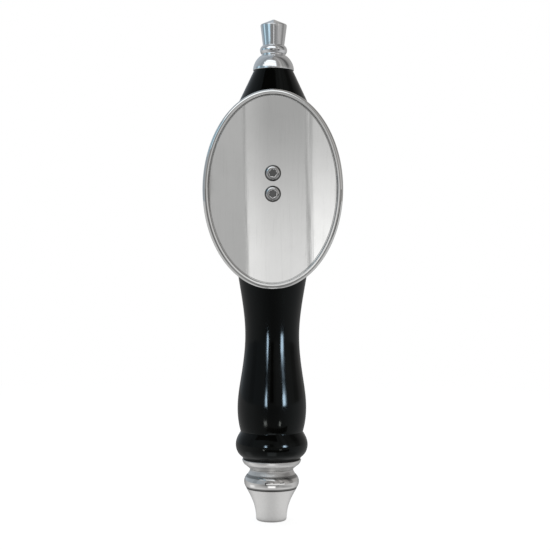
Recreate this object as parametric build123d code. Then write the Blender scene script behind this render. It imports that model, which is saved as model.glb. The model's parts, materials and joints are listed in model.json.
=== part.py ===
from build123d import *
import os

# A pub-style beer tap handle, in millimetres. +Z runs up the handle, the oval shield faces -Y, and the
# origin is the centre of the ferrule's foot, at the mouth of the socket that screws onto a tap's lever.

# ---- threads ---------------------------------------------------------------------------------------
INCH = 25.4
lever_thread_r = 3 / 8 * INCH / 2  # 3/8-16, on the tap's lever
hanger_thread_r = 5 / 16 * INCH / 2  # 5/16-18, ferrule to handle
hanger_thread_pitch = INCH / 18
stud_thread_r = 1 / 4 * INCH / 2  # 1/4-20, finial to handle
stud_thread_pitch = INCH / 20
screw_thread_r = 2.5  # M5, shield to handle
hanger_turns = 10  # full turns of thread held by the ferrule
stud_turns = 8  # full turns of thread held by the finial knob

# ---- clearances ------------------------------------------------------------------------------------
thread_clearance = 0.05  # radial, between a thread and the part that turns on it
passing_clearance = 0.3  # radial, where a thread passes through a part without holding it
end_gap = 0.5  # beyond the end of a thread in a blind hole

# ---- ferrule ---------------------------------------------------------------------------------------
lever_socket_depth = 19.0
foot_r = 9.15
foot_round = 1.3
bell_height = 18.5  # foot rounding to the underside of the bead
bell_low_r = 9.7
bell_low_share = 0.27
bell_mid_r = 11.5
bell_mid_share = 0.60
bell_top_r = 15.3
bead_height = 7.6
bead_bulge = 1.35
bead_top_r = 14.9
neck_height = 3.0
neck_r = 13.0
neck_hollow = 0.25
flare_height = 3.4
flare_r = 16.3
flare_hollow = 0.12
collar_height = 3.1
collar_r = 17.7
collar_bulge = 0.3

# ---- ferrule washer --------------------------------------------------------------------------------
washer_thickness = 0.8
washer_inset = 0.7  # from the collar's edge

# ---- handle body -----------------------------------------------------------------------------------
body_length = 231.8
body_foot_inset = 0.1  # from the collar's edge
base_flare_height = 2.6
base_flare_r = 19.9
base_bead_height = 8.0
base_bead_r = 21.6
base_shoulder_height = 12.4
base_shoulder_r = 20.6
crease_height = 15.8
crease_r = 18.7
crease_slope = (0.28, 1)  # radius gained for height
grip_height = 31.4
grip_r = 20.6
grip_top_height = 50.0
grip_top_r = 18.35
waist_height = 74.0
waist_r = 16.2
throat_height = 101.6
throat_r = 19.3
throat_slope = (0.17, 1)
bulb_below_top = 49.0
bulb_r = 28.7
cone_length = 26.6
cone_foot_r = 24.3
body_top_r = 11.7

# ---- hanger bolt and finial stud, in the wood ------------------------------------------------------
hanger_wood_length = 34.0
stud_wood_length = 18.0
drill_point = 1.5  # hole in the wood beyond the end of what it holds
rod_end_chamfer = 0.7

# ---- shield ----------------------------------------------------------------------------------------
shield_width = 82.0
shield_height = 116.8
shield_below_top = 72.1  # shield centre below the body's top
seat_offset = 20.0  # flat on the body, from the axis
seat_margin = 3.0  # flat beyond the shield's lower end
field_thickness = 2.4
rim_rise = 1.1
rim_width = 3.4
rim_outer_round = 1.9
rim_inner_round = 0.5
rim_foot_width = 0.6
rim_foot_depth = 0.25
back_edge_round = 0.6

# ---- shield screws and inserts ---------------------------------------------------------------------
screw_spacing = 12.1
screw_pair_rise = 3.3  # middle of the pair above the shield's centre
screw_head_r = 4.8
screw_head_height = 2.7
screw_head_land_r = 3.0
screw_head_edge = 0.35
screw_head_bulge = 0.5
screw_length = 13.0  # under the head
socket_lobe_count = 6
socket_core_r = 1.65
socket_lobe_r = 0.48
socket_reach_r = 2.25  # to the tip of a lobe
socket_depth = 1.8
insert_r = 4.0
insert_length = 12.0

# ---- finial ----------------------------------------------------------------------------------------
cap_foot_r = 12.25
cap_foot_edge = 0.7
cap_height = 8.7
cap_top_r = 8.1
cap_bulge = 0.9
knob_foot_r = 7.1
knob_foot_height = 1.0
knob_bead_height = 5.3
knob_bead_bulge = 1.35
column_foot_r = 6.4
column_height = 12.4
column_top_r = 7.95
column_top_round = 0.9
apex_height = 3.1
apex_land_r = 0.6

# ---- levels along the axis -------------------------------------------------------------------------
bell_top = foot_round + bell_height
bead_top = bell_top + bead_height
neck_top = bead_top + neck_height
flare_top = neck_top + flare_height
ferrule_top = flare_top + collar_height
body_foot = ferrule_top + washer_thickness
body_top = body_foot + body_length
hanger_end = ferrule_top - hanger_turns * hanger_thread_pitch
cap_top = body_top + cap_height
stud_end = cap_top + stud_turns * stud_thread_pitch
shield_level = body_top - shield_below_top
field_offset = seat_offset + field_thickness
screw_levels = {
    "upper": shield_level + screw_pair_rise + screw_spacing / 2,
    "lower": shield_level + screw_pair_rise - screw_spacing / 2,
}
washer_r = collar_r - washer_inset


def rod(radius, low, high):
    """A round rod on the handle's axis, between two levels."""
    return Pos(0, 0, low) * Cylinder(radius, high - low, align=(Align.CENTER, Align.CENTER, Align.MIN))


def turned(*curves):
    """A turned piece: its outline, as radius and level, closed along the axis and taken round once."""
    outline = Curve() + curves
    start, end = outline @ 0, outline @ 1
    closing = Polyline((start.X, start.Y), (0, start.Y), (0, end.Y), (end.X, end.Y))
    section = make_face(outline + closing)
    return revolve(Plane.XZ * section, Axis.Z)


def on_shield_axis(level, offset):
    """A plane facing -Y at a level on the handle and a distance in front of its axis."""
    return Plane(origin=(0, -offset, level), x_dir=(1, 0, 0), z_dir=(0, -1, 0))


def ferrule():
    bell = [
        (foot_r, foot_round),
        (bell_low_r, foot_round + bell_height * bell_low_share),
        (bell_mid_r, foot_round + bell_height * bell_mid_share),
        (bell_top_r, bell_top),
    ]
    outside = turned(
        RadiusArc((foot_r - foot_round, 0), (foot_r, foot_round), -foot_round),
        Spline(*bell),
        SagittaArc((bell_top_r, bell_top), (bead_top_r, bead_top), -bead_bulge),
        SagittaArc((bead_top_r, bead_top), (neck_r, neck_top), neck_hollow),
        SagittaArc((neck_r, neck_top), (flare_r, flare_top), flare_hollow),
        SagittaArc((flare_r, flare_top), (collar_r, ferrule_top), -collar_bulge),
    )
    lever_socket = rod(lever_thread_r + thread_clearance, 0, lever_socket_depth)
    hanger_socket = rod(hanger_thread_r + thread_clearance, hanger_end - end_gap, ferrule_top)
    return outside - lever_socket - hanger_socket


def ferrule_washer():
    hole = rod(hanger_thread_r + passing_clearance, ferrule_top, body_foot)
    return rod(washer_r, ferrule_top, body_foot) - hole


def hanger_bolt():
    bolt = rod(hanger_thread_r, hanger_end, body_foot + hanger_wood_length)
    return chamfer(bolt.edges().filter_by(GeomType.CIRCLE), rod_end_chamfer)


def handle_body():
    throat = (throat_r, body_foot + throat_height)
    bulb = (bulb_r, body_top - bulb_below_top)
    cone_foot = (cone_foot_r, body_top - cone_length)
    base = [
        (collar_r - body_foot_inset, body_foot),
        (base_flare_r, body_foot + base_flare_height),
        (base_bead_r, body_foot + base_bead_height),
        (base_shoulder_r, body_foot + base_shoulder_height),
        (crease_r, body_foot + crease_height),
    ]
    grip = [
        (crease_r, body_foot + crease_height),
        (grip_r, body_foot + grip_height),
        (grip_top_r, body_foot + grip_top_height),
        (waist_r, body_foot + waist_height),
        throat,
    ]
    cone_slope = (body_top_r - cone_foot_r, cone_length)
    outside = turned(
        Spline(*base),
        Spline(*grip, tangents=[crease_slope, throat_slope]),
        Spline(throat, bulb, tangents=[throat_slope, (0, 1)]),
        Spline(bulb, cone_foot, tangents=[(0, 1), cone_slope]),
        Line(cone_foot, (body_top_r, body_top)),
    )
    seat_foot = shield_level - shield_height / 2 - seat_margin
    seat_height = body_top - seat_foot
    seat_cut = Pos(0, -seat_offset, seat_foot) * Box(
        2 * bulb_r, bulb_r, seat_height, align=(Align.CENTER, Align.MAX, Align.MIN)
    )
    hanger_hole = rod(hanger_thread_r, body_foot, body_foot + hanger_wood_length + drill_point)
    stud_hole = rod(stud_thread_r, body_top - stud_wood_length - drill_point, body_top)
    body = outside - seat_cut - hanger_hole - stud_hole
    for level in screw_levels.values():
        body -= on_shield_axis(level, seat_offset) * Pos(0, 0, -insert_length - drill_point) * Cylinder(
            insert_r, insert_length + drill_point, align=(Align.CENTER, Align.CENTER, Align.MIN)
        )
    return body


def shield_plate():
    width_r, height_r = shield_width / 2, shield_height / 2
    thickness = field_thickness + rim_rise
    blank = extrude(Ellipse(width_r, height_r), thickness)
    blank = fillet(blank.edges().group_by(Axis.Z)[-1], rim_outer_round)
    blank = fillet(blank.edges().group_by(Axis.Z)[0], back_edge_round)
    field_w, field_h = width_r - rim_width, height_r - rim_width
    field_cut = extrude(Ellipse(field_w, field_h), rim_rise)
    plate = blank - Pos(0, 0, field_thickness) * field_cut
    crest = plate.edges().group_by(Axis.Z)[-1].sort_by(SortBy.LENGTH)
    plate = fillet(crest[0], rim_inner_round)
    rim_groove = extrude(
        Ellipse(field_w, field_h) - Ellipse(field_w - rim_foot_width, field_h - rim_foot_width), rim_foot_depth
    )
    plate -= Pos(0, 0, field_thickness - rim_foot_depth) * rim_groove
    for level in screw_levels.values():
        hole = Cylinder(
            screw_thread_r + passing_clearance, field_thickness, align=(Align.CENTER, Align.CENTER, Align.MIN)
        )
        plate -= Pos(0, level - shield_level, 0) * hole
    return on_shield_axis(shield_level, seat_offset) * plate


def shield_screw(level):
    shank = Pos(0, 0, -screw_length) * Cylinder(
        screw_thread_r, screw_length, align=(Align.CENTER, Align.CENTER, Align.MIN)
    )
    head = turned(
        Line((screw_head_r, 0), (screw_head_r, screw_head_edge)),
        SagittaArc((screw_head_r, screw_head_edge), (screw_head_land_r, screw_head_height), -screw_head_bulge),
    )
    lobes = PolarLocations(socket_reach_r - socket_lobe_r, socket_lobe_count)
    socket = extrude(Circle(socket_core_r) + lobes * Circle(socket_lobe_r), socket_depth)
    screw = head + shank - Pos(0, 0, screw_head_height - socket_depth) * socket
    return on_shield_axis(level, field_offset) * screw


def shield_insert(level):
    bore_length = screw_length - field_thickness
    insert = Pos(0, 0, -insert_length) * Cylinder(
        insert_r, insert_length, align=(Align.CENTER, Align.CENTER, Align.MIN)
    )
    bore = Pos(0, 0, -bore_length) * Cylinder(
        screw_thread_r, bore_length, align=(Align.CENTER, Align.CENTER, Align.MIN)
    )
    return on_shield_axis(level, seat_offset) * (insert - bore)


def finial_stud():
    stud = rod(stud_thread_r, body_top - stud_wood_length, stud_end)
    return chamfer(stud.edges().filter_by(GeomType.CIRCLE), rod_end_chamfer)


def finial_cap():
    dome = turned(
        Line((cap_foot_r, body_top), (cap_foot_r, body_top + cap_foot_edge)),
        SagittaArc((cap_foot_r, body_top + cap_foot_edge), (cap_top_r, cap_top), -cap_bulge),
    )
    return dome - rod(stud_thread_r + passing_clearance, body_top, cap_top)


def finial_knob():
    bead_foot = cap_top + knob_foot_height
    bead_head = bead_foot + knob_bead_height
    column_head = bead_head + column_height
    knob = turned(
        Line((knob_foot_r, cap_top), (knob_foot_r, bead_foot)),
        SagittaArc((knob_foot_r, bead_foot), (column_foot_r, bead_head), -knob_bead_bulge),
        Line((column_foot_r, bead_head), (column_top_r, column_head)),
        Line((column_top_r, column_head), (apex_land_r, column_head + apex_height)),
    )
    brim = knob.edges().filter_by(GeomType.CIRCLE).sort_by(Axis.Z)[-2]
    knob = fillet(brim, column_top_round)
    return knob - rod(stud_thread_r + thread_clearance, cap_top, stud_end + end_gap)


pieces = {
    "ferrule": ferrule(),
    "ferrule_washer": ferrule_washer(),
    "hanger_bolt": hanger_bolt(),
    "handle_body": handle_body(),
    "shield_plate": shield_plate(),
    "finial_stud": finial_stud(),
    "finial_cap": finial_cap(),
    "finial_knob": finial_knob(),
}
for place, level in screw_levels.items():
    pieces[f"shield_screw_{place}"] = shield_screw(level)
    pieces[f"shield_insert_{place}"] = shield_insert(level)

os.makedirs("parts", exist_ok=True)
for name, piece in pieces.items():
    export_step(piece, f"parts/{name}.step")
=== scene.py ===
"""A turned, black-lacquered beer tap handle with its chrome ferrule, oval shield and finial."""

import json
from math import atan2, cos, degrees, pi, radians, sin, tan

import bmesh
import bpy
import numpy as np
from bpy.props import FloatProperty, FloatVectorProperty, IntProperty, PointerProperty
from mathutils import Matrix, Vector

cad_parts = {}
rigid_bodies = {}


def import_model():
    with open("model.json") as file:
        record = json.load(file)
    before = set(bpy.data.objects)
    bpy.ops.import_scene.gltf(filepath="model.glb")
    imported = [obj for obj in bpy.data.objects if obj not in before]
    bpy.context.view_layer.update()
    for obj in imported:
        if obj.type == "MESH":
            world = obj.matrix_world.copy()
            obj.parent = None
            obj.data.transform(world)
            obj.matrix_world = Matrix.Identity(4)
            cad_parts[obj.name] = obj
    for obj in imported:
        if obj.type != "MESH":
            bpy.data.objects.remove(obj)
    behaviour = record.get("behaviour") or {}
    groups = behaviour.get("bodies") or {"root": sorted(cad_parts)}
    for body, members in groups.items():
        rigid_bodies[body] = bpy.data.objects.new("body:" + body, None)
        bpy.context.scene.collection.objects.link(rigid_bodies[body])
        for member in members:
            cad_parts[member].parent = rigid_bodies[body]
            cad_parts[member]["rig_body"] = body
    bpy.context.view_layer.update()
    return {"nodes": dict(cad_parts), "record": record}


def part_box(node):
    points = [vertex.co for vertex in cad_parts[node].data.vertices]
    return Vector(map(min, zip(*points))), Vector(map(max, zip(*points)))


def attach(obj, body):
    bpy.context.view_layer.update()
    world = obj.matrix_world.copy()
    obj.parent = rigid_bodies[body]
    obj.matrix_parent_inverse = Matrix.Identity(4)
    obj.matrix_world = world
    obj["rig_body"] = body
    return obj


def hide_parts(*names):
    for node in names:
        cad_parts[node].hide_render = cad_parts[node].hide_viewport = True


bl_info = {
    "name": "Beer Tap Handle",
    "version": (1, 0, 0),
    "blender": (4, 5, 0),
    "location": "3D View > Sidebar > Tap Handle",
    "description": "Builds the pieces and finishes of a turned beer tap handle around its frame",
    "category": "Object",
}

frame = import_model()

MM = 0.001
MERGE = 0.002 * MM  # closer points than this are one point
FAINT = 0.01 * MM  # ridges in a bore that a bolt fills
TURNED_STEPS = 176  # flats round a turned piece
SMALL_STEPS = 72  # flats round a screw head or a thread
SOCKET_LOBES = 6
DONE = {"FINISHED"}


# ---- sizes and colours a user would change ----


def length(name, description, size_mm):
    size = size_mm * MM
    return FloatProperty(name=name, description=description, default=size, unit="LENGTH", precision=5)


def colour(name, description, default):
    kind = {"size": 3, "subtype": "COLOR"}
    return FloatVectorProperty(name=name, description=description, default=default, **kind)


class FerruleSizes(bpy.types.PropertyGroup):
    foot_radius: length("Foot radius", "Radius of the bell where it meets the tap's lever", 9.15)
    foot_round: length("Foot round", "Rounding of the bell's foot", 1.3)
    bell_height: length("Bell height", "From the foot's rounding up to the bead", 18.5)
    bell_low_radius: length("Bell low radius", "Radius a quarter of the way up the bell", 9.7)
    bell_mid_radius: length("Bell middle radius", "Radius past the middle of the bell", 11.5)
    bell_top_radius: length("Bell top radius", "Radius where the bell meets the bead", 15.3)
    bead_height: length("Bead height", "Height of the polished bead", 7.6)
    bead_bulge: length("Bead bulge", "How far the bead stands off its chord", 1.35)
    bead_top_radius: length("Bead top radius", "Radius where the bead meets the neck", 14.9)
    neck_height: length("Neck height", "Height of the hollow neck", 3.0)
    neck_radius: length("Neck radius", "Smallest radius, above the bead", 13.0)
    flare_height: length("Flare height", "Height of the collar's sloping underside", 3.4)
    flare_radius: length("Flare radius", "Radius at the foot of the collar's side", 16.3)
    groove: length("Groove", "Width of the fine turned grooves", 0.45)
    tint: colour("Chrome colour", "Colour of the plating", (0.755, 0.75, 0.74))


class BodySizes(bpy.types.PropertyGroup):
    foot_inset: length("Foot inset", "The wood's foot inside the collar's edge", 0.1)
    bead_radius: length("Base bead radius", "Largest radius of the bead at the foot", 21.6)
    crease_radius: length("Crease radius", "Radius of the crease above the bead", 18.7)
    grip_radius: length("Grip radius", "Largest radius of the lower grip", 20.6)
    waist_radius: length("Waist radius", "Smallest radius between grip and bulb", 16.2)
    throat_radius: length("Throat radius", "Radius where the bulb begins", 19.3)
    bulb_radius: length("Bulb radius", "Largest radius, behind the shield", 28.7)
    cone_foot_radius: length("Cone foot radius", "Radius at the foot of the straight cone", 24.3)
    top_radius: length("Top radius", "Radius under the finial", 11.7)
    lacquer: colour("Lacquer colour", "Colour of the lacquer", (0.0035, 0.0035, 0.0030))


class ShieldSizes(bpy.types.PropertyGroup):
    rim_width: length("Rim width", "From the shield's edge to its flat field", 3.4)
    rim_rise: length("Rim rise", "Height of the rim's crest above the field", 1.1)
    outer_round: length("Outer round", "Rounding of the rim's outer edge", 1.9)
    inner_round: length("Inner round", "Rounding of the rim's inner edge", 0.5)
    back_round: length("Back round", "Rounding of the plate's back edge", 0.6)
    wall_lean: length("Wall lean", "Slope of the rim's inner wall", 0.15)
    groove_width: length("Groove width", "Groove at the rim's inner foot", 0.6)
    groove_depth: length("Groove depth", "Depth of that groove", 0.25)
    tint: colour("Chrome colour", "Colour of the plating", (0.80, 0.80, 0.79))


class FinialSizes(bpy.types.PropertyGroup):
    cap_edge: length("Cap edge", "Upright edge at the dome's foot", 0.7)
    cap_top_radius: length("Cap top radius", "Radius of the dome's top", 8.1)
    cap_bulge: length("Cap bulge", "How far the dome stands off its chord", 0.9)
    knob_foot_radius: length("Knob foot radius", "Radius of the short neck over the dome", 7.1)
    knob_foot_height: length("Knob foot height", "Height of that neck", 1.0)
    bead_height: length("Bead height", "Height of the knob's bead", 5.3)
    bead_bulge: length("Bead bulge", "How far the bead stands off its chord", 1.35)
    column_foot_radius: length("Column foot radius", "Smallest radius of the flared column", 6.4)
    column_top_radius: length("Column top radius", "Largest radius of the flared column", 7.95)
    apex_height: length("Apex height", "Height of the low cone on the column", 3.1)
    brim_round: length("Brim round", "Rounding at the column's top edge", 0.9)
    tint: colour("Chrome colour", "Colour of the plating", (0.78, 0.79, 0.80))


class FastenerSizes(bpy.types.PropertyGroup):
    hanger_pitch: length("Hanger bolt pitch", "5/16-18 machine thread", 25.4 / 18)
    wood_pitch: length("Wood thread pitch", "Coarse thread in the wood", 2.6)
    stud_pitch: length("Finial stud pitch", "1/4-20 machine thread", 25.4 / 20)
    lever_pitch: length("Lever socket pitch", "3/8-16 machine thread", 25.4 / 16)
    head_land_radius: length("Head land radius", "Flat ring at the top of a screw's dome", 3.0)
    head_bulge: length("Head bulge", "How far a screw's dome stands off its chord", 0.5)
    socket_radius: length("Socket radius", "Middle radius of the six-lobed socket", 2.0)
    socket_lobe: length("Socket lobe", "How far the lobes wave in and out", 0.20)
    socket_depth: length("Socket depth", "Depth of the socket", 1.8)
    steel: colour("Steel colour", "Zinc-plated steel", (0.60, 0.61, 0.62))


class StageSizes(bpy.types.PropertyGroup):
    eye_distance: length("Camera distance", "From the handle's axis", 763)
    eye_height: length("Camera height", "Above the floor", 155)
    aim_height: length("Aim height", "Level at the middle of the picture", 147.2)
    field_width: length("Field width", "Width seen at the handle's axis", 330)
    floor_radius: length("Floor radius", "Radius of the pale floor", 6000)
    camera_roll: FloatProperty(
        name="Camera roll", description="About its view", default=radians(0.27), unit="ROTATION"
    )


# ---- outlines and turned pieces ----


def arc(start, end, bulge, steps=12):
    """Points after start on a round arc to end, standing off the chord by bulge on its right."""
    a, b = Vector(start), Vector(end)
    chord = b - a
    radius = (chord.length**2 / 4 + bulge**2) / (2 * abs(bulge))
    right = Vector((chord.y, -chord.x)).normalized() * (1 if bulge > 0 else -1)
    centre = (a + b) / 2 + right * (abs(bulge) - radius)
    turn = (b - centre).angle_signed(a - centre)
    return [centre + Matrix.Rotation(turn * i / steps, 2) @ (a - centre) for i in range(1, steps + 1)]


def rounded(start, end, radius, steps):
    """A quarter round between two square faces."""
    return arc(start, end, radius * (1 - cos(pi / 4)), steps)


def flowing(points, first=None, last=None, steps=12):
    """Points after the first on one even curve through the given ones.

    Its directions at the two ends are kept if they are given."""
    p = np.array([tuple(q) for q in points], float)
    gap = np.linalg.norm(np.diff(p, axis=0), axis=1)
    count = len(p)
    matrix, wanted = np.zeros((count, count)), np.zeros((count, 2))
    for i in range(1, count - 1):
        matrix[i, i - 1 : i + 2] = gap[i], 2 * (gap[i - 1] + gap[i]), gap[i - 1]
        before, after = (p[i] - p[i - 1]) / gap[i - 1], (p[i + 1] - p[i]) / gap[i]
        wanted[i] = 3 * (gap[i] * before + gap[i - 1] * after)
    for row, beside, side, direction in ((0, 1, 0, first), (count - 1, count - 2, -1, last)):
        matrix[row, row] = 1
        if direction is None:
            matrix[row, beside] = 0.5
            wanted[row] = 1.5 * (p[1] - p[0] if row == 0 else p[-1] - p[-2]) / gap[side]
        else:
            wanted[row] = Vector(direction).normalized()
    speed = np.linalg.solve(matrix, wanted)
    curve = []
    for i in range(count - 1):
        for t in np.linspace(0, 1, steps + 1)[1:]:
            ease = 3 * t**2 - 2 * t**3
            leave, arrive = (t - 2 * t**2 + t**3) * gap[i], (t**3 - t**2) * gap[i]
            point = p[i] * (1 - ease) + p[i + 1] * ease
            curve.append(Vector(point + speed[i] * leave + speed[i + 1] * arrive))
    return curve


def notch(at, width):
    """A fine turned groove of V shape, cut into an upright stretch of outline at a point."""
    along, inwards = Vector((0, width / 2)), Vector((-width * 0.8, 0))
    point = Vector(at)
    return [point - along, point + inwards, point + along]


def bore_wall(radius, mouth, end, pitch, ridge):
    """Outline of a threaded bore's wall between two levels, with a ridge for each turn."""
    count = max(1, int(abs(end - mouth) / pitch))
    step = (end - mouth) / count
    wall = [(radius, mouth)]
    for i in range(count):
        wall += [(radius - ridge, mouth + step * (i + share)) for share in (0.45, 0.55)]
        wall += [(radius, mouth + step * (i + 1))]
    return wall


def spun(bm, outline, closed=False, steps=TURNED_STEPS):
    """Adds an outline of radius and height to a mesh and spins it once round the Z axis."""
    corners = [bm.verts.new((r, 0, z)) for r, z in outline]
    pairs = list(zip(corners, corners[1:]))
    if closed:
        pairs.append((corners[-1], corners[0]))
    sides = [bm.edges.new(pair) for pair in pairs]
    geom = corners + sides
    bmesh.ops.spin(bm, geom=geom, axis=(0, 0, 1), angle=2 * pi, steps=steps, use_merge=True)
    bmesh.ops.remove_doubles(bm, verts=bm.verts, dist=MERGE)


def cut_flat(bm, geom, point, outwards):
    """Cuts away what lies past a plane and closes the cut with a flat face."""
    cut = bmesh.ops.bisect_plane(
        bm, geom=geom, dist=MERGE, plane_co=point, plane_no=outwards, clear_outer=True
    )["geom_cut"]
    rim = [e for e in cut if isinstance(e, bmesh.types.BMEdge) and e.is_boundary]
    bmesh.ops.holes_fill(bm, edges=rim, sides=0)


def finished(bm, name, crease=34):
    """Ends a mesh: faces outwards, smooth with its corners kept, as an object in the scene."""
    bmesh.ops.recalc_face_normals(bm, faces=bm.faces)
    mesh = bpy.data.meshes.new(name)
    bm.to_mesh(mesh)
    bm.free()
    mesh.shade_smooth()
    mesh.set_sharp_from_angle(angle=radians(crease))
    piece = bpy.data.objects.new(name, mesh)
    bpy.context.scene.collection.objects.link(piece)
    return piece


def placed(piece, node, material):
    """Rides a piece on its CAD node's body in place of the node, with the given material."""
    body = frame["nodes"][node]["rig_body"]
    piece.data.materials.append(material)
    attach(piece, body)
    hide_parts(node)


def turned(outline, name, node, material, closed=False):
    """Builds a whole turned piece from its outline, in place of its CAD node."""
    bm = bmesh.new()
    spun(bm, outline, closed)
    placed(finished(bm, name), node, material)


def thread(bm, radius, pitch, low, high, depth, crest=0.125):
    """Adds a rod with a helical thread to a mesh, cut square at both levels.

    The crest's width and the levels on the tooth are shares of the pitch."""
    rod = bmesh.new()
    root = radius - depth
    spare_turns = 2  # past each end, and cut away below
    start = low - spare_turns * pitch
    flank, middle = 0.25, 0.625
    tooth = [(root, 0), (root, flank)]
    tooth += [(radius, middle - crest / 2), (radius, middle + crest / 2), (root, 1)]
    corners = [rod.verts.new((r, 0, start + z * pitch)) for r, z in tooth]
    sides = [rod.edges.new(pair) for pair in zip(corners, corners[1:])]
    turns = int((high - low) / pitch) + 2 * spare_turns
    lift, steps = (0, 0, pitch / SMALL_STEPS), SMALL_STEPS * turns
    geom = corners + sides
    bmesh.ops.spin(rod, geom=geom, axis=(0, 0, 1), dvec=lift, angle=2 * pi * turns, steps=steps)
    bmesh.ops.remove_doubles(rod, verts=rod.verts, dist=MERGE)
    for level, side in ((low, -1), (high, 1)):
        geom = rod.verts[:] + rod.edges[:] + rod.faces[:]
        cut_flat(rod, geom, (0, 0, level), (0, 0, side))
    bmesh.ops.recalc_face_normals(rod, faces=rod.faces)
    loose = bpy.data.meshes.new("thread")
    rod.to_mesh(loose)
    rod.free()
    bm.from_mesh(loose)
    bpy.data.meshes.remove(loose)


# ---- shader tools ----


class Signal:
    """A shader number that takes part in sums: each operator adds its Math node."""

    def __init__(self, shader, socket):
        self.shader = shader
        self.socket = socket

    def math(self, operation, *values):
        node = self.shader.node("ShaderNodeMath", {"operation": operation}, dict(enumerate(values)))
        return Signal(self.shader, node.outputs[0])

    def __add__(self, other):
        return self.math("ADD", self, other)

    def __sub__(self, other):
        return self.math("SUBTRACT", self, other)

    def __mul__(self, other):
        return self.math("MULTIPLY", self, other)

    def __rsub__(self, other):
        return self.math("SUBTRACT", other, self)

    def __pow__(self, other):
        return self.math("POWER", self, other)

    __radd__ = __add__
    __rmul__ = __mul__


class Shader:
    """The nodes of a material or world, from its surface back."""

    def __init__(self, name, kind="ShaderNodeBsdfPrincipled", world=False):
        self.owner = (bpy.data.worlds if world else bpy.data.materials).new(name)
        self.owner.use_nodes = True
        self.tree = self.owner.node_tree
        self.tree.nodes.clear()
        output = self.tree.nodes.new("ShaderNodeOutputWorld" if world else "ShaderNodeOutputMaterial")
        self.surface = self.tree.nodes.new(kind)
        self.tree.links.new(self.surface.outputs[0], output.inputs["Surface"])

    def node(self, kind, settings=None, inputs=None):
        """Adds a node: its settings first, then the values or links of its sockets."""
        node = self.tree.nodes.new(kind)
        for key, value in (settings or {}).items():
            setattr(node, key, value)
        for key, value in (inputs or {}).items():
            self.feed(node.inputs[key], value)
        return node

    def feed(self, socket, value):
        if isinstance(value, Signal):
            value = value.socket
        if isinstance(value, bpy.types.NodeSocket):
            self.tree.links.new(value, socket)
        elif socket.type == "RGBA":
            socket.default_value = (*value, 1)
        else:
            socket.default_value = value

    def set(self, **values):
        """Sets or links the surface's sockets, named in words joined by underscores."""
        for key, value in values.items():
            self.feed(self.surface.inputs[key.replace("_", " ")], value)

    def place(self, stretch=(1, 1, 1), turn=(0, 0, 0)):
        """Object coordinates, stretched and turned."""
        where = self.node("ShaderNodeTexCoord").outputs["Object"]
        inputs = {"Vector": where, "Scale": stretch, "Rotation": turn}
        return self.node("ShaderNodeMapping", None, inputs).outputs[0]

    def axes(self):
        """Object X, Y and Z as signals."""
        where = self.node("ShaderNodeTexCoord").outputs["Object"]
        parts = self.node("ShaderNodeSeparateXYZ", None, {0: where})
        return [Signal(self, s) for s in parts.outputs]

    def noise(self, scale, detail=2.0, rough=0.5, stretch=(1, 1, 1), turn=(0, 0, 0), twist=0.0):
        inputs = {"Vector": self.place(stretch, turn), "Scale": scale, "Detail": detail}
        inputs |= {"Roughness": rough, "Distortion": twist}
        return Signal(self, self.node("ShaderNodeTexNoise", None, inputs).outputs[0])

    def ramp(self, value, low, high, bottom=0.0, top=1.0):
        """A smooth change from bottom to top as value goes from low to high."""
        inputs = {"Value": value, "From Min": low, "From Max": high, "To Min": bottom, "To Max": top}
        node = self.node("ShaderNodeMapRange", {"interpolation_type": "SMOOTHSTEP"}, inputs)
        return Signal(self, node.outputs[0])

    def band(self, value, low, high, soft):
        """1 between two values and 0 outside, with soft edges."""
        rise = self.ramp(value, low - soft, low + soft)
        return rise * self.ramp(value, high - soft, high + soft, 1.0, 0.0)

    def blend(self, factor, low, high):
        """A colour that goes from low to high as the factor goes from 0 to 1."""
        inputs = {"Factor": factor, "A": low, "B": high}
        node = self.node("ShaderNodeMix", {"data_type": "RGBA"})
        enabled = {s.name: s for s in node.inputs if s.enabled and s.type in ("RGBA", "VALUE")}
        for key, value in inputs.items():
            self.feed(enabled[key], value)
        return next(s for s in node.outputs if s.type == "RGBA" and s.enabled)

    def bump(self, height, distance, under=None):
        """A normal raised by a height, over another bump if one is given."""
        inputs = {"Height": height, "Distance": distance, "Strength": 1.0}
        if under is not None:
            inputs["Normal"] = under
        return self.node("ShaderNodeBump", None, inputs).outputs[0]


def darker(tint, factor):
    return tuple(c * factor for c in tint)


def polished_chrome(name, tint, wave, haze, head_top=None):
    """Bright plating: faint waves from the polishing wheel, hairline wipes and finger haze.

    With the level of a screw head's top given, it paints shade into the socket below that top."""
    s = Shader(name)
    smudge = s.ramp(s.noise(90, 4, 0.6), 0.42, 0.72)
    wipes = s.noise(900, 3, 0.6, stretch=(1, 1, 0.05), turn=(0.25, 0.35, 0.1))
    waves = s.noise(70, 1.5, 0.4)
    plating = s.blend(smudge, tint, darker(tint, 0.93))
    if head_top is not None:
        # painted shade: the plating darkens with depth into the socket
        depth = s.axes()[1] - head_top
        plating = s.blend(s.ramp(depth, 0.12 * MM, 0.7 * MM), plating, darker(tint, 0.21))
    s.set(
        Base_Color=plating,
        Metallic=1.0,
        Roughness=haze + smudge * 0.05 + s.ramp(wipes, 0.55, 0.8) * 0.03,
        Normal=s.bump(wipes, 0.0006 * MM, s.bump(waves, wave)),
    )
    return s.owner


# ---- the ferrule ----


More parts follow.
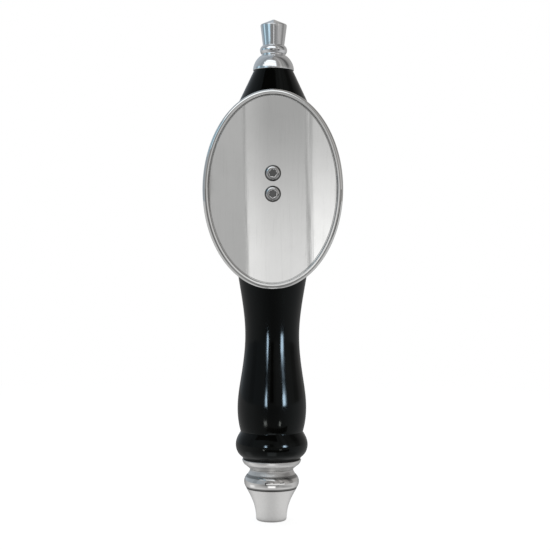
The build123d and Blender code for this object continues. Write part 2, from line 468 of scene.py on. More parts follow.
def ferrule_chrome(sizes, bead_low, bead_high):
    """Plating blasted to a satin, but for the bead, which is mirror bright.

    Painted shade darkens the crease under the bead and the shoulder over it."""
    s = Shader("ferrule_chrome")
    z = s.axes()[2]
    mirror = s.band(z, bead_low, bead_high, 0.15 * MM)
    # painted shade: bands in the crease under the bead and on the shoulder over it
    crease = s.band(z, bead_low - 0.5 * MM, bead_low + 1.1 * MM, 0.35 * MM)
    shoulder_shade = s.band(z, bead_high - 0.9 * MM, bead_high + 0.7 * MM, 0.4 * MM) * 0.85
    grain = s.noise(2600, 3, 0.7)
    cloud = s.noise(160, 3, 0.55)
    rings = s.noise(1500, 2, 0.6, stretch=(0.02, 0.02, 1))
    satin = 0.30 + cloud * 0.08 + grain * 0.05
    shine = 0.05 + s.ramp(cloud, 0.5, 0.8) * 0.05
    tint = tuple(sizes.tint)
    plating = s.blend(s.ramp(grain, 0.3, 0.7) * (1 - mirror), tint, darker(tint, 0.88))
    # painted shade in the crease; the shoulder's painted shade is blended in below
    plating = s.blend(crease, plating, darker(tint, 0.22))
    s.set(
        Base_Color=s.blend(shoulder_shade, plating, darker(tint, 0.25)),
        Metallic=1.0,
        Roughness=satin * (1 - mirror) + shine * mirror,
        Normal=s.bump(grain * (1 - mirror) + rings * (0.5 - mirror * 0.4), 0.006 * MM),
    )
    return s.owner


class TAP_OT_ferrule(bpy.types.Operator):
    """Builds the chrome ferrule that screws onto the tap's lever"""

    bl_idname = "tap.ferrule"
    bl_label = "Ferrule"

    def execute(self, context):
        sizes, threads = context.scene.tap_ferrule, context.scene.tap_fasteners
        low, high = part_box("ferrule")
        bolt_low, bolt_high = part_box("hanger_bolt")
        foot, top, collar = low.z, high.z, high.x
        bell_foot = foot + sizes.foot_round
        bell_top = bell_foot + sizes.bell_height
        bead_top = bell_top + sizes.bead_height
        neck_top = bead_top + sizes.neck_height
        flare_top = neck_top + sizes.flare_height
        g = sizes.groove
        outline = [(sizes.foot_radius - sizes.foot_round, foot)]
        outline += rounded(outline[-1], (sizes.foot_radius, bell_foot), sizes.foot_round, 10)
        low_share, middle_share = 0.27, 0.60  # of the bell's height
        bell = [outline[-1], (sizes.bell_low_radius, bell_foot + sizes.bell_height * low_share)]
        bell += [(sizes.bell_mid_radius, bell_foot + sizes.bell_height * middle_share)]
        bell += [(sizes.bell_top_radius - g * 0.3, bell_top - g * 0.6)]
        outline += flowing(bell, steps=18)
        outline += [(sizes.bell_top_radius - g * 0.9, bell_top - g * 0.1)]
        outline += [(sizes.bell_top_radius, bell_top + g * 0.5)]
        outline += arc(outline[-1], (sizes.bead_top_radius, bead_top), sizes.bead_bulge, 30)
        outline += arc(outline[-1], (sizes.neck_radius, neck_top), -0.25 * MM, 12)
        outline += notch((sizes.neck_radius, neck_top + g), g)
        outline += arc(outline[-1], (sizes.flare_radius, flare_top), -0.12 * MM, 12)
        brim = 0.5 * MM
        outline += arc(outline[-1], (collar, top - brim), 0.22 * MM, 10)
        outline += rounded(outline[-1], (collar - brim, top), brim, 6)
        hanger_bore, hanger_mouth = bolt_high.x + 0.05 * MM, 0.5 * MM
        socket = next(m for m in frame["record"]["mounts"] if m["name"] == "lever_socket")["dims"]
        lever_bore, lever_mouth = socket["r_mm"] * MM, 0.6 * MM
        web_low, web_high = foot + socket["length_mm"] * MM, bolt_low.z - 0.5 * MM
        outline += [(hanger_bore + hanger_mouth, top)]
        outline += bore_wall(hanger_bore, top - hanger_mouth, web_high, threads.hanger_pitch, FAINT)
        outline += [(0, web_high)]
        inner = [(lever_bore + lever_mouth, foot)]
        inner += bore_wall(lever_bore, foot + lever_mouth, web_low, threads.lever_pitch, 0.6 * MM)
        inner += [(0, web_low)]
        material = ferrule_chrome(sizes, bell_top, bead_top - 0.1 * MM)
        turned(inner[::-1] + outline, "ferrule_shell", "ferrule", material)
        return DONE


class TAP_OT_washer(bpy.types.Operator):
    """Builds the rubber washer between the ferrule and the wood"""

    bl_idname = "tap.washer"
    bl_label = "Ferrule washer"

    def execute(self, context):
        low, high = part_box("ferrule_washer")
        bolt_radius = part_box("hanger_bolt")[1].x
        hole, edge = bolt_radius + 0.3 * MM, 0.25 * MM
        outline = [(hole, low.z), (high.x - edge, low.z)]
        outline += arc(outline[-1], (high.x - edge, high.z), 0.24 * MM, 8)
        outline += [(hole, high.z)]
        s = Shader("washer_rubber")
        speck = s.noise(1500, 3, 0.6)
        s.set(
            Base_Color=s.blend(speck, (0.012, 0.012, 0.012), (0.025, 0.025, 0.024)),
            Roughness=0.6 + speck * 0.25,
            Normal=s.bump(speck, 0.02 * MM),
        )
        turned(outline, "washer_ring", "ferrule_washer", s.owner, closed=True)
        return DONE


# ---- the lacquered wood ----


def black_lacquer(sizes):
    """Gloss lacquer over turned wood: the grain and the flow of the coats ripple its reflections."""
    s = Shader("black_lacquer")
    grain = s.noise(420, 4, 0.6, stretch=(1, 1, 0.045))
    flow = s.noise(130, 2, 0.5, stretch=(1, 1, 0.55))
    specks = s.ramp(s.noise(1700, 2, 0.5), 0.68, 0.8)
    handling = s.ramp(s.noise(60, 4, 0.6, stretch=(1, 1, 0.6)), 0.45, 0.75)
    tint = tuple(sizes.lacquer)
    s.set(
        Base_Color=s.blend(handling, tint, darker(tint, 1.7)),
        Roughness=0.07 + handling * 0.05 + grain * 0.04,
        IOR=1.26,
        Specular_Tint=(0.86, 0.97, 1.0),
        Normal=s.bump(specks, 0.004 * MM, s.bump(grain, 0.02 * MM, s.bump(flow, 0.06 * MM))),
    )
    return s.owner


class TAP_OT_handle_body(bpy.types.Operator):
    """Builds the turned and lacquered wood, with its flat seat for the shield"""

    bl_idname = "tap.handle_body"
    bl_label = "Handle body"

    def execute(self, context):
        sizes = context.scene.tap_body
        low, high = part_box("handle_body")
        foot, top = low.z, high.z
        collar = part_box("ferrule")[1].x
        bolt_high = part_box("hanger_bolt")[1]
        stud_low, stud_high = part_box("finial_stud")
        plate_low, plate_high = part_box("shield_plate")
        foot_edge = collar - sizes.foot_inset
        foot_round = 0.4 * MM
        bead_foot = (19.9 * MM, foot + 2.6 * MM)
        bead = (sizes.bead_radius, foot + 8.0 * MM)
        bead_shoulder = (20.6 * MM, foot + 12.4 * MM)
        crease_low = (sizes.crease_radius + 0.15 * MM, foot + 15.5 * MM)
        crease_high = (sizes.crease_radius + 0.12 * MM, foot + 16.2 * MM)
        grip = (sizes.grip_radius, foot + 31.4 * MM)
        grip_shoulder = (18.35 * MM, foot + 50.0 * MM)
        waist = (sizes.waist_radius, foot + 74.0 * MM)
        throat = (sizes.throat_radius, foot + 101.6 * MM)
        bulb = (sizes.bulb_radius, top - 49.0 * MM)
        cone_foot = Vector((sizes.cone_foot_radius, top - 26.6 * MM))
        cone_top = Vector((sizes.top_radius, top))
        out_of_crease, into_bulb, upright = (0.28, 1), (0.17, 1), (0, 1)
        slope = (cone_top - cone_foot).normalized()
        drill_tip = 1.5 * MM
        outline = [(0, bolt_high.z + drill_tip), (bolt_high.x, bolt_high.z), (bolt_high.x, foot)]
        outline += [(foot_edge - foot_round, foot)]
        outline += arc(outline[-1], (foot_edge, foot + foot_round), 0.1 * MM, 4)
        outline += flowing([outline[-1], bead_foot, bead, bead_shoulder, crease_low], steps=12)
        outline += arc(outline[-1], crease_high, -0.12 * MM, 6)
        grip_line = [outline[-1], grip, grip_shoulder, waist, throat]
        outline += flowing(grip_line, out_of_crease, into_bulb, 22)
        outline += flowing([outline[-1], bulb], into_bulb, upright, 40)
        outline += flowing([bulb, cone_foot], upright, slope, 24)
        outline += [cone_foot.lerp(cone_top, i / 12) for i in range(1, 12)]
        outline += [cone_top - slope * 0.5 * MM]
        outline += arc(outline[-1], (cone_top.x - 0.4 * MM, top), 0.12 * MM, 4)
        outline += [(stud_high.x, top), (stud_high.x, stud_low.z), (0, stud_low.z - drill_tip)]
        bm = bmesh.new()
        spun(bm, outline)
        seat_low = plate_low.z - 3 * MM
        above = [f for f in bm.faces if all(v.co.z > seat_low for v in f.verts)]
        part = list({g for f in above for g in (*f.verts, *f.edges)}) + above
        cut_flat(bm, part, (0, plate_high.y, 0), (0, -1, 0))
        on_seat = [e for e in bm.edges if all(abs(v.co.y - plate_high.y) < MERGE for v in e.verts)]
        outer = [e for e in on_seat if e.calc_face_angle(0) > radians(8)]
        bmesh.ops.bevel(
            bm, geom=outer, offset=0.35 * MM, affect="EDGES", segments=3, profile=0.5, material=-1
        )
        placed(finished(bm, "handle_wood", 40), "handle_body", black_lacquer(sizes))
        return DONE


# ---- the shield and its screws ----


def facing_front(level, front):
    """A transform that stands a flat piece, built facing +Z, up to face -Y."""
    return Matrix.Translation((0, front, level)) @ Matrix.Rotation(pi / 2, 4, "X")


def mirror_plate(sizes, low, high):
    """The shield's plating: nearly a mirror, with long faint draw lines and wiping marks.

    A thin line of painted shade lies along the foot of the rim's inner wall, strongest at the top."""
    s = Shader("shield_chrome")
    y, z = s.axes()[1:]
    draw = s.noise(700, 3, 0.6, stretch=(1, 1, 0.035), turn=(0, 0.07, 0), twist=0.6)
    wipes = s.noise(420, 3, 0.6, stretch=(1, 1, 0.07), turn=(0, 0.45, 0), twist=0.9)
    waves = s.noise(35, 1.5, 0.4, stretch=(1, 1, 0.35))
    haze = s.ramp(s.noise(45, 4, 0.6), 0.4, 0.75)
    lines = s.ramp(draw, 0.52, 0.75) * 0.5 + s.ramp(wipes, 0.52, 0.75) * 0.5
    tint = tuple(sizes.tint)
    plating = s.blend(haze * 0.4 + lines * 0.6, tint, darker(tint, 0.90))
    inset = Signal(s, s.node("ShaderNodeAttribute", {"attribute_name": "inset"}).outputs["Fac"])
    foot = sizes.rim_width
    # painted shade at the foot of the rim's inner wall, darker towards the top, on the front face only
    line = s.band(inset, foot - 0.3 * MM, foot + 0.15 * MM, 0.12 * MM)
    in_front = s.ramp(y, high.y - 1.4 * MM, high.y - 1.0 * MM, 1.0, 0.0)
    shade = line * s.ramp(z, low.z, high.z, 0.45, 0.95) * in_front
    s.set(
        Base_Color=s.blend(shade, plating, darker(tint, 0.30)),
        Metallic=1.0,
        Roughness=0.02 + haze * 0.02 + s.ramp(draw, 0.5, 0.8) * 0.04,
        Normal=s.bump(draw + wipes * 0.6, 0.0013 * MM, s.bump(waves, 0.008 * MM)),
    )
    return s.owner


class TAP_OT_shield_plate(bpy.types.Operator):
    """Builds the oval shield plate with its rounded rim and recessed field"""

    bl_idname = "tap.shield_plate"
    bl_label = "Shield plate"

    def execute(self, context):
        sizes = context.scene.tap_shield
        low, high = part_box("shield_plate")
        across, tall, thick = (high.x - low.x) / 2, (high.z - low.z) / 2, high.y - low.y
        field = thick - sizes.rim_rise
        foot = across - sizes.rim_width
        seam = foot - 6 * MM  # here the turned rim meets the field, which is filled in flat
        wall = foot + sizes.wall_lean
        groove = field - sizes.groove_depth
        outline = [(seam, 0), (across - sizes.back_round, 0)]
        outline += rounded(outline[-1], (across, sizes.back_round), sizes.back_round, 8)
        outline += [(across, thick - sizes.outer_round)]
        outline += rounded(outline[-1], (across - sizes.outer_round, thick), sizes.outer_round, 18)
        outline += [(wall + sizes.inner_round, thick)]
        outline += rounded(outline[-1], (wall, thick - sizes.inner_round), sizes.inner_round, 8)
        outline += [(foot, groove), (foot - sizes.groove_width * 0.5, groove)]
        outline += arc(outline[-1], (foot - sizes.groove_width, field), 0.05 * MM, 4)
        outline += [(foot - sizes.groove_width - 0.05 * MM, field), (seam, field)]
        bm = bmesh.new()
        inset = bm.verts.layers.float.new("inset")
        spun(bm, outline, steps=256)
        for v in bm.verts:
            radius = v.co.xy.length
            v[inset] = across - radius
            v.co.y *= (radius + tall - across) / radius
        holes = [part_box(f"shield_screw_{place}") for place in ("upper", "lower")]
        levels = [(b[0].z + b[1].z) / 2 - (low.z + high.z) / 2 for b in holes]
        hole_radius = 2.8 * MM
        for level in levels:
            centre = Matrix.Translation((0, level, field))
            ring = bmesh.ops.create_circle(
                bm, cap_ends=False, segments=SMALL_STEPS, radius=hole_radius, matrix=centre
            )["verts"]
            for v in ring:
                v[inset] = across
            sides = list({e for v in ring for e in v.link_edges})
            made = bmesh.ops.extrude_edge_only(bm, edges=sides)["geom"]
            lower = [g for g in made if isinstance(g, bmesh.types.BMVert)]
            bmesh.ops.translate(bm, verts=lower, vec=(0, 0, -field))
        for height in (0, field):
            open_edges = [e for e in bm.edges if e.is_boundary]
            rims = [e for e in open_edges if all(abs(v.co.z - height) < MERGE for v in e.verts)]
            bmesh.ops.triangle_fill(bm, edges=rims, use_beauty=True, use_dissolve=False)
        bmesh.ops.transform(bm, verts=bm.verts, matrix=facing_front((low.z + high.z) / 2, high.y))
        placed(finished(bm, "shield_oval", 30), "shield_plate", mirror_plate(sizes, low, high))
        return DONE


class TAP_OT_shield_screws(bpy.types.Operator):
    """Builds the two dome-headed screws through the shield"""

    bl_idname = "tap.shield_screws"
    bl_label = "Shield screws"

    def execute(self, context):
        sizes = context.scene.tap_fasteners
        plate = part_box("shield_plate")
        field = plate[0].y + context.scene.tap_shield.rim_rise
        head_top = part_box("shield_screw_upper")[0].y
        material = polished_chrome("screw_chrome", (0.66, 0.66, 0.66), 0.004 * MM, 0.06, head_top)
        for place, turn in (("upper", 0.15), ("lower", 0.62)):
            node = f"shield_screw_{place}"
            low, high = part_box(node)
            head, height, shank = (high.x - low.x) / 2, field - low.y, high.y - field
            radius, tip, worn_edge = 2.5 * MM, 0.6 * MM, 0.22 * MM
            outline = [(0, -shank), (radius - tip, -shank), (radius, tip - shank), (radius, 0)]
            outline += [(head - 0.2 * MM, 0), (head, 0.15 * MM), (head, 0.35 * MM)]
            outline += arc(outline[-1], (sizes.head_land_radius, height), sizes.head_bulge, 16)
            bm = bmesh.new()
            spun(bm, outline, steps=SMALL_STEPS)
            edges = [e for e in bm.edges if e.is_boundary]
            for wider, down in ((worn_edge, 0), (0, worn_edge), (0, sizes.socket_depth)):
                made = bmesh.ops.extrude_edge_only(bm, edges=edges)["geom"]
                edges = [g for g in made if isinstance(g, bmesh.types.BMEdge)]
                for v in (g for g in made if isinstance(g, bmesh.types.BMVert)):
                    angle = atan2(v.co.y, v.co.x)
                    wave = sizes.socket_lobe * cos(SOCKET_LOBES * (angle + turn))
                    reach = sizes.socket_radius + wider + wave
                    v.co = (reach * cos(angle), reach * sin(angle), height - down)
            bmesh.ops.holes_fill(bm, edges=edges, sides=0)
            bmesh.ops.transform(bm, verts=bm.verts, matrix=facing_front((low.z + high.z) / 2, field))
            placed(finished(bm, f"dome_screw_{place}", 30), node, material)
        return DONE


class TAP_OT_shield_inserts(bpy.types.Operator):
    """Finishes the brass inserts that take the shield's screws"""

    bl_idname = "tap.shield_inserts"
    bl_label = "Shield inserts"

    def execute(self, context):
        s = Shader("insert_brass")
        turning = s.noise(1200, 3, 0.6, stretch=(1, 0.05, 1))
        s.set(
            Base_Color=s.blend(turning, (0.62, 0.44, 0.18), (0.74, 0.56, 0.28)),
            Metallic=1.0,
            Roughness=0.25 + turning * 0.2,
            Normal=s.bump(turning, 0.01 * MM),
        )
        for place in ("upper", "lower"):
            slots = frame["nodes"][f"shield_insert_{place}"].material_slots
            if not slots:
                raise RuntimeError("the insert has no material slot")
            for slot in slots:
                slot.material = s.owner
        return DONE


# ---- the finial ----


class TAP_OT_finial_cap(bpy.types.Operator):
    """Builds the chrome dome that sits on the wood"""

    bl_idname = "tap.finial_cap"
    bl_label = "Finial cap"

    def execute(self, context):
        sizes = context.scene.tap_finial
        low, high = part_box("finial_cap")
        hole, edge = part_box("finial_stud")[1].x + 0.3 * MM, 0.25 * MM
        outline = [(hole, low.z), (high.x - edge, low.z)]
        outline += arc(outline[-1], (high.x, low.z + edge), 0.07 * MM, 4)
        outline += [(high.x, low.z + sizes.cap_edge)]
        outline += arc(outline[-1], (sizes.cap_top_radius, high.z - 0.2 * MM), sizes.cap_bulge, 36)
        outline += [(sizes.cap_top_radius - 0.3 * MM, high.z), (hole, high.z)]
        material = polished_chrome("finial_chrome", tuple(sizes.tint), 0.012 * MM, 0.10)
        turned(outline, "finial_dome", "finial_cap", material, closed=True)
        return DONE


class TAP_OT_finial_knob(bpy.types.Operator):
    """Builds the chrome bead and flared column above the dome"""

    bl_idname = "tap.finial_knob"
    bl_label = "Finial knob"

    def execute(self, context):
        sizes, threads = context.scene.tap_finial, context.scene.tap_fasteners
        low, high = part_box("finial_knob")
        stud_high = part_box("finial_stud")[1]
        bead_foot = low.z + sizes.knob_foot_height
        bead_head = bead_foot + sizes.bead_height
        column_head = high.z - sizes.apex_height
        bore, mouth, edge = stud_high.x + 0.05 * MM, 0.5 * MM, 0.2 * MM
        bore_end = stud_high.z + 0.5 * MM
        outline = [(0, bore_end)]
        outline += bore_wall(bore, bore_end, low.z + mouth, threads.stud_pitch, FAINT)
        outline += [(bore + mouth, low.z), (sizes.knob_foot_radius - edge, low.z)]
        outline += [(sizes.knob_foot_radius, low.z + edge), (sizes.knob_foot_radius, bead_foot)]
        outline += arc(outline[-1], (sizes.column_foot_radius, bead_head), sizes.bead_bulge, 28)
        foot, head = Vector(outline[-1]), Vector((sizes.column_top_radius, column_head))
        apex = Vector((0.6 * MM, high.z))
        rise, fall = (head - foot).normalized(), (apex - head).normalized()
        bend = rise.angle(fall)
        back = sizes.brim_round * tan(bend / 2)
        brim_low, brim_high = head - rise * back, head + fall * back
        outline += [foot.lerp(brim_low, i / 10) for i in range(1, 11)]
        outline += arc(outline[-1], brim_high, sizes.brim_round * (1 - cos(bend / 2)), 10)
        outline += [brim_high.lerp(apex, i / 5) for i in range(1, 6)]
        outline += [(0, high.z)]
        turned(outline, "finial_column", "finial_knob", bpy.data.materials["finial_chrome"])
        return DONE


# ---- the bolts ----


def plated_steel(sizes):
    """Bright zinc plate with fine drawing marks."""
    s = Shader("zinc_steel")
    marks = s.noise(1400, 3, 0.6, stretch=(1, 1, 0.08))
    tone = s.noise(250, 3, 0.6)
    tint = tuple(sizes.steel)
    s.set(
        Base_Color=s.blend(tone, darker(tint, 0.85), tint),
        Metallic=1.0,
        Roughness=0.22 + tone * 0.16,
        Normal=s.bump(marks, 0.004 * MM),
    )
    return s.owner


class TAP_OT_bolts(bpy.types.Operator):
    """Builds the hanger bolt and the finial stud with their threads"""

    bl_idname = "tap.bolts"
    bl_label = "Hanger bolt and finial stud"

    def execute(self, context):
        sizes = context.scene.tap_fasteners
        material = plated_steel(sizes)
        wood_low, wood_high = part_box("handle_body")
        for node, pitch, machine_low, machine_high in (
            ("hanger_bolt", sizes.hanger_pitch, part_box("hanger_bolt")[0].z, wood_low.z),
            ("finial_stud", sizes.stud_pitch, wood_high.z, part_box("finial_stud")[1].z),
        ):
            low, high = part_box(node)
            bm = bmesh.new()
            thread(bm, high.x, pitch, machine_low, machine_high, pitch * 0.6)
            in_wood = (low.z, machine_low) if machine_low > low.z + MERGE else (machine_high, high.z)
            thread(bm, high.x, sizes.wood_pitch, *in_wood, 0.9 * MM, crest=0.06)
            placed(finished(bm, f"{node}_threads", 30), node, material)
        return DONE


# ---- floor, light and camera ----


def stage_card(name, width, height, centre, material, seen_by):
    """An upright card that faces the handle, for the reflections of the named pieces alone."""
    bm = bmesh.new()
    bmesh.ops.create_grid(bm, x_segments=1, y_segments=1, size=0.5)
    bmesh.ops.scale(bm, verts=bm.verts, vec=(width, height, 1))
    middle = Vector(centre)
    facing = Vector((-middle.x, -middle.y, 0)).to_track_quat("Z", "Y").to_matrix().to_4x4()
    bmesh.ops.transform(bm, verts=bm.verts, matrix=Matrix.Translation(middle) @ facing)
    card = finished(bm, name)
    card.data.materials.append(material)
    for side in ("camera", "diffuse", "shadow", "transmission"):
        setattr(card, f"visible_{side}", False)
    pieces = card.light_linking.receiver_collection = bpy.data.collections.new(name)
    for piece in seen_by:
        pieces.objects.link(bpy.data.objects[piece])


def glow_card(name, width, height, centre, seen_by, strength, tint=(1, 1, 1)):
    """A card of one even brightness."""
    s = Shader(name, "ShaderNodeEmission")
    s.set(Color=tint, Strength=strength)
    stage_card(name, width, height, centre, s.owner, seen_by)


def across_card(x, y, place):
    """How far to the right of the middle a point lies on an upright card that faces the handle."""
    side = Vector((-place[1], place[0])).normalized()
    return x * side.x + y * side.y


LACQUERED = ("handle_wood",)
FERRULE = ("ferrule_shell",)
PLATED = (
    *FERRULE, "shield_oval", "dome_screw_upper", "dome_screw_lower", "finial_dome", "finial_column"
)


class TAP_OT_stage(bpy.types.Operator):
    """Sets the pale floor, the soft studio light and the camera"""

    bl_idname = "tap.stage"
    bl_label = "Floor, light and camera"

    def execute(self, context):
        sizes = context.scene.tap_stage
        self.floor(sizes)
        self.wall(sizes)
        self.strips()
        self.glints()
        self.windows()
        self.room(context.scene)
        self.overhead(context.scene)
        self.camera(context.scene, sizes)
        context.scene.view_settings.view_transform = "Standard"
        return DONE

    def floor(self, sizes):
        """White to the camera, with a faint shadow at the foot, and dimmer in reflections, where a
        shadow under the foot and light round it are painted.
        """
        bm = bmesh.new()
        bmesh.ops.create_circle(bm, cap_ends=True, segments=96, radius=sizes.floor_radius)
        floor = finished(bm, "floor")
        s = Shader("floor_pale", "ShaderNodeMixShader")
        x, y = s.axes()[:2]
        away = (x * x + y * y) ** 0.5
        near = s.ramp(away, 0.25, 0.9, 1.0, 0.0)
        grey = s.blend(near, (0, 0, 0), (0.5, 0.5, 0.5))
        paper = s.node("ShaderNodeBsdfDiffuse", None, {"Color": grey})
        white = s.node("ShaderNodeEmission", None, {"Strength": 1.0 - near * 0.19})
        seen = s.node("ShaderNodeAddShader", None, {0: paper.outputs[0], 1: white.outputs[0]})
        turn = x.math("ARCTAN2", x, 0 - y) * degrees(1)
        beside = x.math("DIVIDE", x * x, away * away) * 0.42
        # painted light round the foot in the reflections: brighter in front, in a ring and in a halo
        before = s.band(turn, -55, 55, 30) * s.ramp(away, 0.03, 0.10, 0.22, 0.0)
        middle = s.band(turn, -13, 15, 4)
        left, right = s.band(turn, -96, -70, 8) * 0.4, s.band(turn, 40, 90, 10) * 0.15
        ring = s.band(away, 0.042, 0.09, 0.008) * (middle + left - right)
        halo = s.ramp(away, 0.022, 0.05, 0.24, 0.0)
        # painted shadow right under the foot in the reflections
        shadow_under_foot = s.ramp(away, 0.009, 0.017, 0.45, 1.0)
        glow = (0.21 + beside + before + halo + ring) * shadow_under_foot
        mirrored = s.node("ShaderNodeEmission", None, {"Strength": glow})
        path = s.node("ShaderNodeLightPath").outputs["Is Camera Ray"]
        inputs = {0: path, 1: mirrored.outputs[0], 2: seen.outputs[0]}
        top = s.node("ShaderNodeMixShader", None, inputs)
        under = s.node("ShaderNodeBsdfTransparent")
        side = s.node("ShaderNodeNewGeometry").outputs["Backfacing"]
        for socket, value in zip(s.surface.inputs, (side, top.outputs[0], under.outputs[0])):
            s.feed(socket, value)
        floor.data.materials.append(s.owner)

    def wall(self, sizes):
        """Upright panels just behind the camera, which the flat shield mirrors."""
        s = Shader("wall_panels", "ShaderNodeEmission")
        x, _, z = s.axes()
        rise = s.ramp(z, 0.13, 0.34)
        x = x + rise * 0.005 - 0.0005
        middle_start, middle_end, right_start, past_edge = -0.031, 0.040, 0.0455, 0.3
        left = s.band(x, -past_edge, middle_start, 0.0004) * (0.50 + rise * 0.02)
        line = s.band(x, -0.0322, -0.0306, 0.0004) * 0.18
        sheen = s.ramp(x, middle_start, 0.0, 0.12, 0.0)
        middle = s.band(x, middle_start, middle_end, 0.0008) * (0.87 + sheen - rise * 0.43)
        gap = s.band(x, middle_end, right_start, 0.0015) * (0.50 - rise * 0.10)
        right = s.band(x, right_start, past_edge, 0.0008 + rise * 0.006) * (1.25 - rise * 0.62)
        s.set(Strength=left - line + middle + gap + right)
        behind_camera = 0.02
        place = (0, -sizes.eye_distance - behind_camera, 0.24)
        stage_card("wall", 0.15, 0.27, place, s.owner, PLATED)

    def strips(self):
        """Two narrow, cool strips low beside the camera, which streak the lacquer."""
        brightness = 50
        for name, place, outwards, width, core, tail in (
            ("strip_left", (-0.215, -0.560, 0.13), -1, 0.12, 0.048, 0.22),
            ("strip_right", (0.430, -0.440, 0.13), 1, 0.20, 0.095, 0.34),
        ):
            s = Shader(name, "ShaderNodeEmission")
            x, y, z = s.axes()
            inner = across_card(x, y, place) * outwards + width / 2
            fade = s.ramp(inner, 0.0, core * 0.4) * s.ramp(inner, core, width, 1.0, 0.0)
            glow = s.ramp(inner, core * 0.8, core * 1.6, 1.0, tail) * fade
            ends = s.ramp(z, 0.045, 0.075) * s.ramp(z, 0.13, 0.22, 1.0, 0.0)
            s.set(Color=(0.78, 0.93, 1.1), Strength=glow * ends * brightness)
            stage_card(name, width, 0.2, place, s.owner, LACQUERED)

    def glints(self):
        """Two warm cards near the foot for the lacquer, and a striped cool one beside the finial.

        A screen stands between the warm cards and the ferrule, whose bead mirrors it instead."""
        warm = (1.0, 0.95, 0.88)
        glow_card("warm_left", 0.024, 0.018, (-0.052, -0.136, 0.009), LACQUERED, 9.0, warm)
        glow_card("warm_right", 0.014, 0.018, (0.066, -0.129, 0.009), LACQUERED, 9.0, warm)
        glow_card("screen", 0.088, 0.015, (0.0165, -0.06, 0.0262), FERRULE, 0.9)
        s = Shader("cool_side", "ShaderNodeEmission")
        x, y, _ = s.axes()
        place = (-0.190, -0.062, 0.311)
        across = across_card(x, y, place)
        front_stripe = s.band(across, 0.080, 0.165, 0.008) * 0.6
        back_stripe = s.band(across, -0.096, -0.036, 0.008) * 0.5
        s.set(Color=(0.72, 0.98, 1.14), Strength=front_stripe + back_stripe + 0.34)
        stage_card("cool_side", 0.36, 0.08, place, s.owner, PLATED)

    def windows(self):
        """Bright panes above the camera, which light the finial's curves."""
        clear, edge = 0.43, 0.07  # of a pane's size, from its middle
        surround = 0.35
        for name, place, width, height, level in (
            ("pane_front", (-0.13, -0.34, 0.68), 0.66, 0.60, 1.4),
            ("pane_left", (-0.38, -0.20, 0.56), 0.05, 0.40, 1.2),
        ):
            s = Shader(name, "ShaderNodeEmission")
            x, y, z = s.axes()
            up = z - place[2]
            bar = s.band(up, -0.012, 0.012, 0.004) * 0.5
            lit = s.band(across_card(x, y, place), -width * clear, width * clear, width * edge)
            lit = lit * s.band(up, -height * clear, height * clear, height * edge)
            strength = (surround + lit * (level - surround)) * (1 - bar)
            s.set(Color=(0.95, 0.98, 1.0), Strength=strength)
            stage_card(name, width, height, place, s.owner, PLATED)

    def room(self, scene):
        """White to the camera, and to the chrome a dim grey room in upright bands, cool on the left."""
        s = Shader("studio", "ShaderNodeMixShader", world=True)
        where = s.node("ShaderNodeTexCoord").outputs["Generated"]
        parts = s.node("ShaderNodeSeparateXYZ", None, {0: where})
        x, y, rise = (Signal(s, socket) for socket in parts.outputs)
        turn = x.math("ARCTAN2", x, 0 - y) * degrees(1)
        level = 0.42 + s.ramp(turn, -140, -100, 0.10, 0.0)
        for start, end, soft, step in (  # degrees round from the front, and brightness
            (-86, -66, 3, -0.09),
            (-24, 14, 5, -0.16),
            (38, 52, 4, 0.20),
            (60, 68, 3, 0.08),
            (82, 104, 5, -0.16),
        ):
            level = level + s.band(turn, start, end, soft) * step
        level = level - s.band(turn, 25, 120, 15) * s.ramp(rise, 0.15, 0.5) * 0.14
        tint = s.blend(s.ramp(turn, -60, 0), (0.90, 0.99, 1.07), (1.02, 1.0, 0.98))
        dim = s.node("ShaderNodeBackground", None, {"Color": tint, "Strength": level})
        white = s.node("ShaderNodeBackground", None, {"Color": (1, 1, 1), "Strength": 1.0})
        path = s.node("ShaderNodeLightPath").outputs["Is Camera Ray"]
        for socket, value in zip(s.surface.inputs, (path, dim.outputs[0], white.outputs[0])):
            s.feed(socket, value)
        scene.world = s.owner

    def overhead(self, scene):
        """One soft lamp over the handle, which the chrome doesn't mirror."""
        lamp = bpy.data.lights.new("overhead", "AREA")
        lamp.size = 1.4
        lamp.energy = 4.0
        holder = bpy.data.objects.new("overhead", lamp)
        holder.location = (0.1, 0.1, 1.7)
        holder.visible_camera = holder.visible_glossy = False
        scene.collection.objects.link(holder)

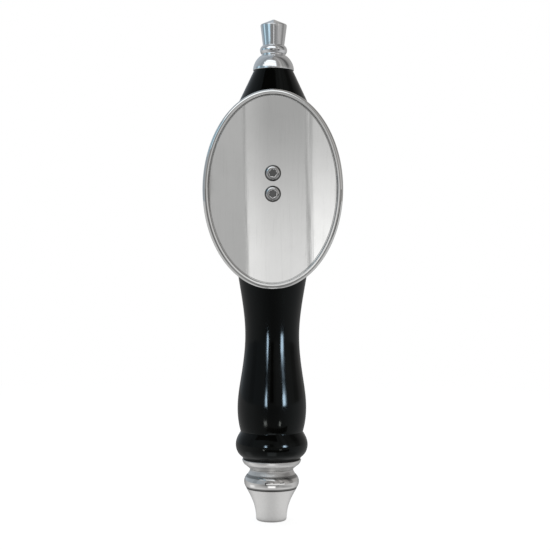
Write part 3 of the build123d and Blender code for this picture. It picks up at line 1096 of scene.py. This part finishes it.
    def camera(self, scene, sizes):
        """A long lens, level with the handle's middle and turned by a hair."""
        lens = bpy.data.cameras.new("camera")
        camera = bpy.data.objects.new("camera", lens)
        scene.collection.objects.link(camera)
        scene.camera = camera
        lens.sensor_width = 36
        lens.lens = lens.sensor_width * sizes.eye_distance / sizes.field_width
        aside = 1.5 * MM
        camera.location = (aside, -sizes.eye_distance, sizes.eye_height)
        aim = Vector((aside, 0, sizes.aim_height)) - camera.location
        turn = aim.to_track_quat("-Z", "Y").to_matrix() @ Matrix.Rotation(sizes.camera_roll, 3, "Z")
        camera.rotation_euler = turn.to_euler()


# ---- panel, registration and the build ----


class TAP_PT_handle(bpy.types.Panel):
    """Lists the tap handle's pieces"""

    bl_label = "Tap Handle"
    bl_idname = "TAP_PT_handle"
    bl_space_type = "VIEW_3D"
    bl_region_type = "UI"
    bl_category = "Tap Handle"

    def draw(self, context):
        for operator in OPERATORS:
            self.layout.operator(operator.bl_idname)


SETTINGS = {
    "tap_ferrule": FerruleSizes,
    "tap_body": BodySizes,
    "tap_shield": ShieldSizes,
    "tap_finial": FinialSizes,
    "tap_fasteners": FastenerSizes,
    "tap_stage": StageSizes,
}
OPERATORS = (
    TAP_OT_ferrule,
    TAP_OT_washer,
    TAP_OT_handle_body,
    TAP_OT_shield_plate,
    TAP_OT_shield_screws,
    TAP_OT_shield_inserts,
    TAP_OT_finial_cap,
    TAP_OT_finial_knob,
    TAP_OT_bolts,
    TAP_OT_stage,
)


def register():
    for name, group in SETTINGS.items():
        bpy.utils.register_class(group)
        setattr(bpy.types.Scene, name, PointerProperty(type=group))
    for operator in OPERATORS:
        bpy.utils.register_class(operator)
    bpy.utils.register_class(TAP_PT_handle)


def unregister():
    bpy.utils.unregister_class(TAP_PT_handle)
    for operator in reversed(OPERATORS):
        bpy.utils.unregister_class(operator)
    for name, group in SETTINGS.items():
        delattr(bpy.types.Scene, name)
        bpy.utils.unregister_class(group)


def main():
    register()
    bpy.ops.tap.ferrule()
    bpy.ops.tap.washer()
    bpy.ops.tap.handle_body()
    bpy.ops.tap.shield_plate()
    bpy.ops.tap.shield_screws()
    bpy.ops.tap.shield_inserts()
    bpy.ops.tap.finial_cap()
    bpy.ops.tap.finial_knob()
    bpy.ops.tap.bolts()
    bpy.ops.tap.stage()


if __name__ == "__main__":
    main()
